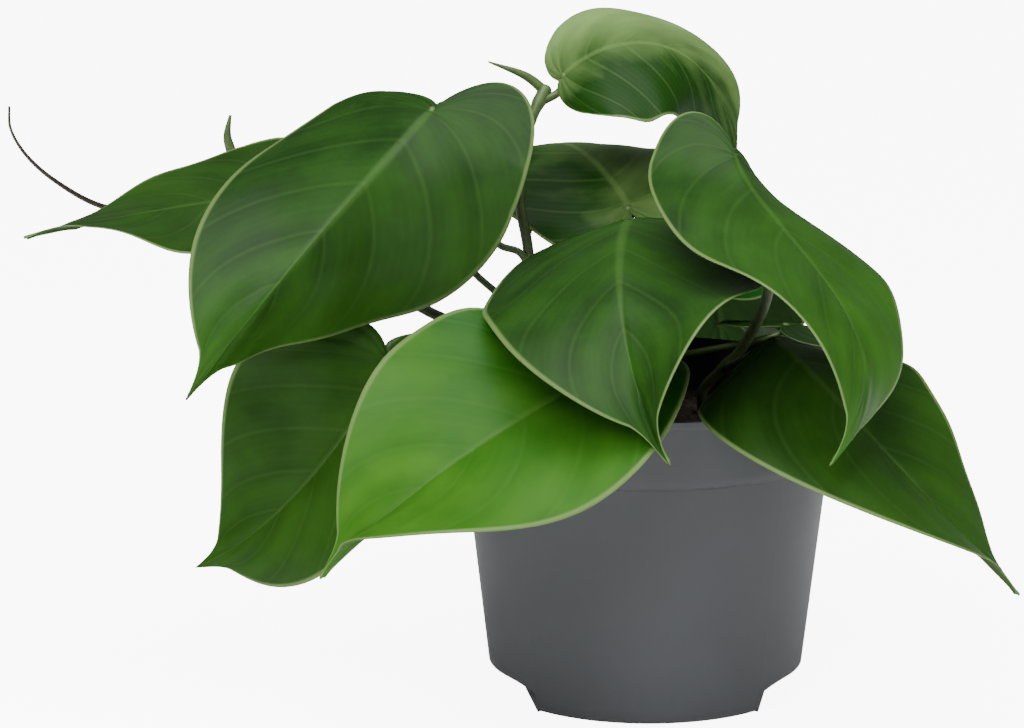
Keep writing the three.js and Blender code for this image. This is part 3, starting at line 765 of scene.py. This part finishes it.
def vein_start(a, length):
    """Where on the midrib the vein starts that runs out to the outline at a."""
    on_lobe = 0.012 + 0.018 * a / LOBE_END
    past = np.clip((a - LOBE_END) / (1 - LOBE_END), 0, 1)
    return length * np.where(a < LOBE_END, on_lobe, 0.03 + 0.955 * past**1.15)


def share_of(x, length):
    """How far along the blade a point lies, from 0 to 1."""
    return np.clip(x / length, 0, 1)


def vein_place(a, across):
    """The veins are counted by the outline's parameter, less a bend that grows with the square
    of the way across, so that they arch toward the tip."""
    return a - VEIN_BEND * across**2


def blade(leaf, seed):
    """The blade's middle surface carried out from the midrib: each half turns up by its fold and
    further by its curl, an arc whose angle grows with the distance from the midrib, with a ripple
    that grows with its square. The fold runs smoothly through its three values. Both faces are
    moved along the surface's own normals: the upper one is pressed in at the veins, as bell
    curves about each, and swells as a squared sine between them; the lower one stands out."""
    length = rib_length(leaf)
    a = np.interp(np.linspace(0, 1, BLADE_ROWS + 1), [0, 0.3, 0.88, 1], [0, LOBE_END, TIP_START, 1])
    s = np.linspace(-1, 1, 2 * BLADE_HALF + 1)
    s = np.sign(s) * np.abs(s) ** 1.25
    a, s = np.meshgrid(a, s, indexing="ij")
    across, right_side = np.abs(s), s > 0
    start = vein_start(a, length)
    lobe = np.where(right_side, leaf["lobe"][1], leaf["lobe"][0])
    edge = outline(a, length, leaf["half"], lobe)
    x = start + (edge[..., 0] - start) * across
    y = edge[..., 1] * across
    share = share_of(x, length)

    def by_side(pair):
        return np.where(right_side, pair[1], pair[0])

    near, midway, far = (np.radians(by_side(pair)) for pair in leaf["fold"])
    fold = (near * (1 - share) * (1 - 2 * share) + midway * 4 * share * (1 - share)
            + far * share * (2 * share - 1))
    curl = np.radians(by_side(leaf["curl"]))
    curl = np.where(curl == 0, 1e-6, curl)
    turn = fold + curl * y / leaf["half"]
    out = leaf["half"] * (np.sin(turn) - np.sin(fold)) / curl
    rise = leaf["half"] * (np.cos(fold) - np.cos(turn)) / curl
    height, ripples, phase = leaf["wave"]
    side = np.where(right_side, 1, -1)
    ripple = np.sin(2 * math.pi * ripples * x / length + side * math.radians(phase))
    rise = rise + height * ripple * (y / leaf["half"]) ** 2
    origin, along, up, right = rib_frame(leaf, x)
    middle = origin + right * (side * out)[..., None] + up * rise[..., None]

    columns = 2 * BLADE_HALF + 1
    index = np.arange((BLADE_ROWS + 1) * columns).reshape(-1, columns)
    for row in (0, -1):
        index[row, :BLADE_HALF] = index[row, : BLADE_HALF : -1]
    quads = np.stack([index[:-1, :-1], index[:-1, 1:], index[1:, 1:], index[1:, :-1]], -1).reshape(-1, 4)
    kept, packed = np.unique(quads, return_inverse=True)
    quads = packed.reshape(-1, 4)
    rim = np.concatenate([index[:, -1], index[-2:0:-1, 0]])
    rim = np.searchsorted(kept, rim)

    middle = middle.reshape(-1, 3)[kept]
    a, across, x, y, side = (grid.ravel()[kept] for grid in (a, across, x, y, side))
    corners = middle[quads]
    face_normal = np.cross(corners[:, 2] - corners[:, 0], corners[:, 3] - corners[:, 1])
    normal = np.zeros_like(middle)
    for corner in range(4):
        np.add.at(normal, quads[:, corner], face_normal)
    normal = unit(normal)

    draw = np.random.default_rng(seed)
    place = vein_place(a, across) * SIDE_VEINS
    vein = np.exp(-(((place - np.round(place)) / VEIN_WIDTH) ** 2)) * (1 - across)
    swell = np.sin(math.pi * place) ** 2 * 4 * across * (1 - across)
    rib = np.exp(-((y / RIB_WIDTH) ** 2)) * (1 - 0.6 * share_of(x, length))
    uneven = np.zeros(len(a))
    for _ in range(UNEVEN_WAVES):
        u, v, p = draw.uniform(*UNEVEN_PITCH), draw.uniform(*UNEVEN_PITCH), draw.uniform(0, 2 * math.pi)
        uneven += np.sin(u * x + v * y * side + p) * UNEVEN_HEIGHT * np.minimum(y / UNEVEN_CLEAR, 1)
    relief = SWELL * swell - VEIN_PRESSED * vein - RIB_PRESSED * rib + uneven
    thick = BLADE_THICKNESS / 2 * (1 - 0.4 * across**8)
    top = middle + normal * (thick + relief)[:, None]
    bottom = middle - normal * (thick - relief + VEIN_RAISED * vein + RIB_RAISED * rib)[:, None]

    count = len(middle)
    following = np.roll(rim, -1)
    rim_quads = np.stack([rim, rim + count, following + count, following], -1)
    faces = np.vstack([quads, quads[:, ::-1] + count, rim_quads])
    uv = np.tile(np.stack([a, across], -1), (2, 1))
    under = np.repeat([0.0, 1.0], count)
    # The tone, blended from its four corner values, is painted light and shade as well as the blade's
    # own colour.
    (near_left, near_right), (far_left, far_right) = leaf["tone"]
    lean = 0.5 + 0.5 * np.clip(y / leaf["half"], 0, 1) * side
    way = share_of(x, length)
    tone = (near_left * (1 - lean) + near_right * lean) * (1 - way)
    tone = tone + (far_left * (1 - lean) + far_right * lean) * way
    attributes = {"under": under, "tone": np.tile(tone, 2)}
    return np.vstack([top, bottom]), faces, uv, attributes


# Each slot's deep and fresh green. The tone blends between them, so the deep green also serves as
# painted shade and the fresh green as painted light; the pale slot's greyish fresh green is a painted
# sheen.
LEAF_COLOURS = {
    "leaf_dark": ((0.005, 0.022, 0.002, 1), (0.025, 0.085, 0.006, 1)),
    "leaf_mid": ((0.007, 0.03, 0.003, 1), (0.035, 0.12, 0.01, 1)),
    "leaf_bright": ((0.001, 0.055, 0.0003, 1), (0.055, 0.165, 0.012, 1)),
    "leaf_pale": ((0.005, 0.032, 0.001, 1), (0.16, 0.27, 0.08, 1)),
}
VEIN_COLOUR = (0.1, 0.17, 0.05, 1)
MARGIN_COLOUR = (0.14, 0.22, 0.07, 1)
UNDER_COLOUR = (0.07, 0.13, 0.035, 1)
FINE_TINT, SIDE_TINT, MIDRIB_TINT, MARGIN_TINT, UNDER_TINT = 0.02, 0.12, 0.3, 0.8, 0.35
MOTTLE_TONE, STREAK_TONE, BESIDE_VEIN_TONE = 0.14, 0.07, -0.08
STREAKS_ALONG, STREAKS_ACROSS, STREAKS_APART = 16.0, 1.6, 2.0
LEAF_SPECULAR = 0.11


def leaf_skin(name, deep, fresh):
    """A satin leaf: from deep to fresh green by its tone, which is partly painted light and shade, so
    that the deep green also stands as painted shade and the fresh green as painted light, a painted
    sheen on the pale blades. Then a soft mottle and streaks that run out along the side veins,
    deeper beside them; then the veins, the midrib and the margin are laid on paler, and the
    underside paler and rougher."""
    material, tree, shader = new_material(name)
    place = object_place(tree)
    uv = node(tree, "ShaderNodeUVMap", uv_map="blade")
    split = tree.nodes.new("ShaderNodeSeparateXYZ")
    tree.links.new(uv, split.inputs[0])
    along, across = split.outputs[0], split.outputs[1]

    def math_node(operation, first, second=0.0, clamp=False):
        return node(tree, "ShaderNodeMath", {0: first, 1: second}, operation=operation, use_clamp=clamp)

    def ranged(value, low, high, new_low, new_high):
        sockets = {0: value, 1: low, 2: high, 3: new_low, 4: new_high}
        return node(tree, "ShaderNodeMapRange", sockets, interpolation_type="SMOOTHSTEP")

    def tinted(ground, mask, strength, tint):
        return mixed(tree, math_node("MULTIPLY", mask, strength), ground, tint)

    bend = math_node("MULTIPLY", math_node("MULTIPLY", across, across), VEIN_BEND)
    vein_way = math_node("SUBTRACT", along, bend)

    def lines(count, width):
        apart = math_node("PINGPONG", math_node("MULTIPLY", vein_way, count), 0.5)
        return ranged(apart, 0.0, width, 1.0, 0.0)

    side_veins = lines(SIDE_VEINS, 0.07)
    beside_veins = lines(SIDE_VEINS, 0.4)
    fine_veins = lines(FINE_VEINS, 0.4)
    # The tone carries painted shade and a painted sheen as well as the blade's own colour.
    tone = node(tree, "ShaderNodeAttribute", out=2, attribute_name="tone")
    mottle = noise(tree, place, 38.0, 4.0)
    soft = ranged(mottle, 0.25, 0.75, -MOTTLE_TONE, MOTTLE_TONE)
    drawn_out = node(tree, "ShaderNodeCombineXYZ", {
        0: math_node("MULTIPLY", vein_way, STREAKS_ALONG),
        1: math_node("MULTIPLY", across, STREAKS_ACROSS),
        2: math_node("MULTIPLY", mottle, STREAKS_APART),
    })
    streaks = ranged(noise(tree, drawn_out, 1.0, 3.0), 0.3, 0.7, -STREAK_TONE, STREAK_TONE)
    streaks = math_node("ADD", streaks, math_node("MULTIPLY", beside_veins, BESIDE_VEIN_TONE))
    tone = math_node("ADD", math_node("ADD", tone, soft), streaks, clamp=True)
    colour = mixed(tree, tone, deep, fresh)
    vein_colour = tuple(0.6 * own + 0.4 * pale for own, pale in zip(fresh, VEIN_COLOUR))
    colour = tinted(colour, fine_veins, FINE_TINT, vein_colour)
    colour = tinted(colour, side_veins, SIDE_TINT, vein_colour)
    colour = tinted(colour, ranged(across, 0.01, 0.05, 1.0, 0.0), MIDRIB_TINT, vein_colour)
    colour = tinted(colour, ranged(across, 0.955, 0.985, 0.0, 1.0), MARGIN_TINT, MARGIN_COLOUR)
    under = node(tree, "ShaderNodeAttribute", out=2, attribute_name="under")
    colour = tinted(colour, under, UNDER_TINT, UNDER_COLOUR)
    tree.links.new(colour, shader.inputs["Base Color"])
    rough = math_node("ADD", ranged(mottle, 0.3, 0.7, 0.4, 0.5), math_node("MULTIPLY", under, 0.2))
    tree.links.new(rough, shader.inputs["Roughness"])
    shader.inputs["Specular IOR Level"].default_value = LEAF_SPECULAR
    cells = math_node("MULTIPLY", noise(tree, place, 900.0, 2.0), 0.6)
    height = math_node("ADD", cells, math_node("MULTIPLY", fine_veins, -0.12))
    bumped(tree, shader, height, 0.16, 0.0004)
    return material


leaf_materials = {slot: leaf_skin(slot, *colours) for slot, colours in LEAF_COLOURS.items()}
for seed, (name, leaf) in enumerate(LEAVES.items()):
    leaf_points, leaf_faces, leaf_uv, leaf_values = blade(leaf, seed)
    add_piece(f"{name}_blade", leaf_points, leaf_faces, leaf_materials[leaf["slot"]], name,
              attributes=leaf_values, uv=leaf_uv)
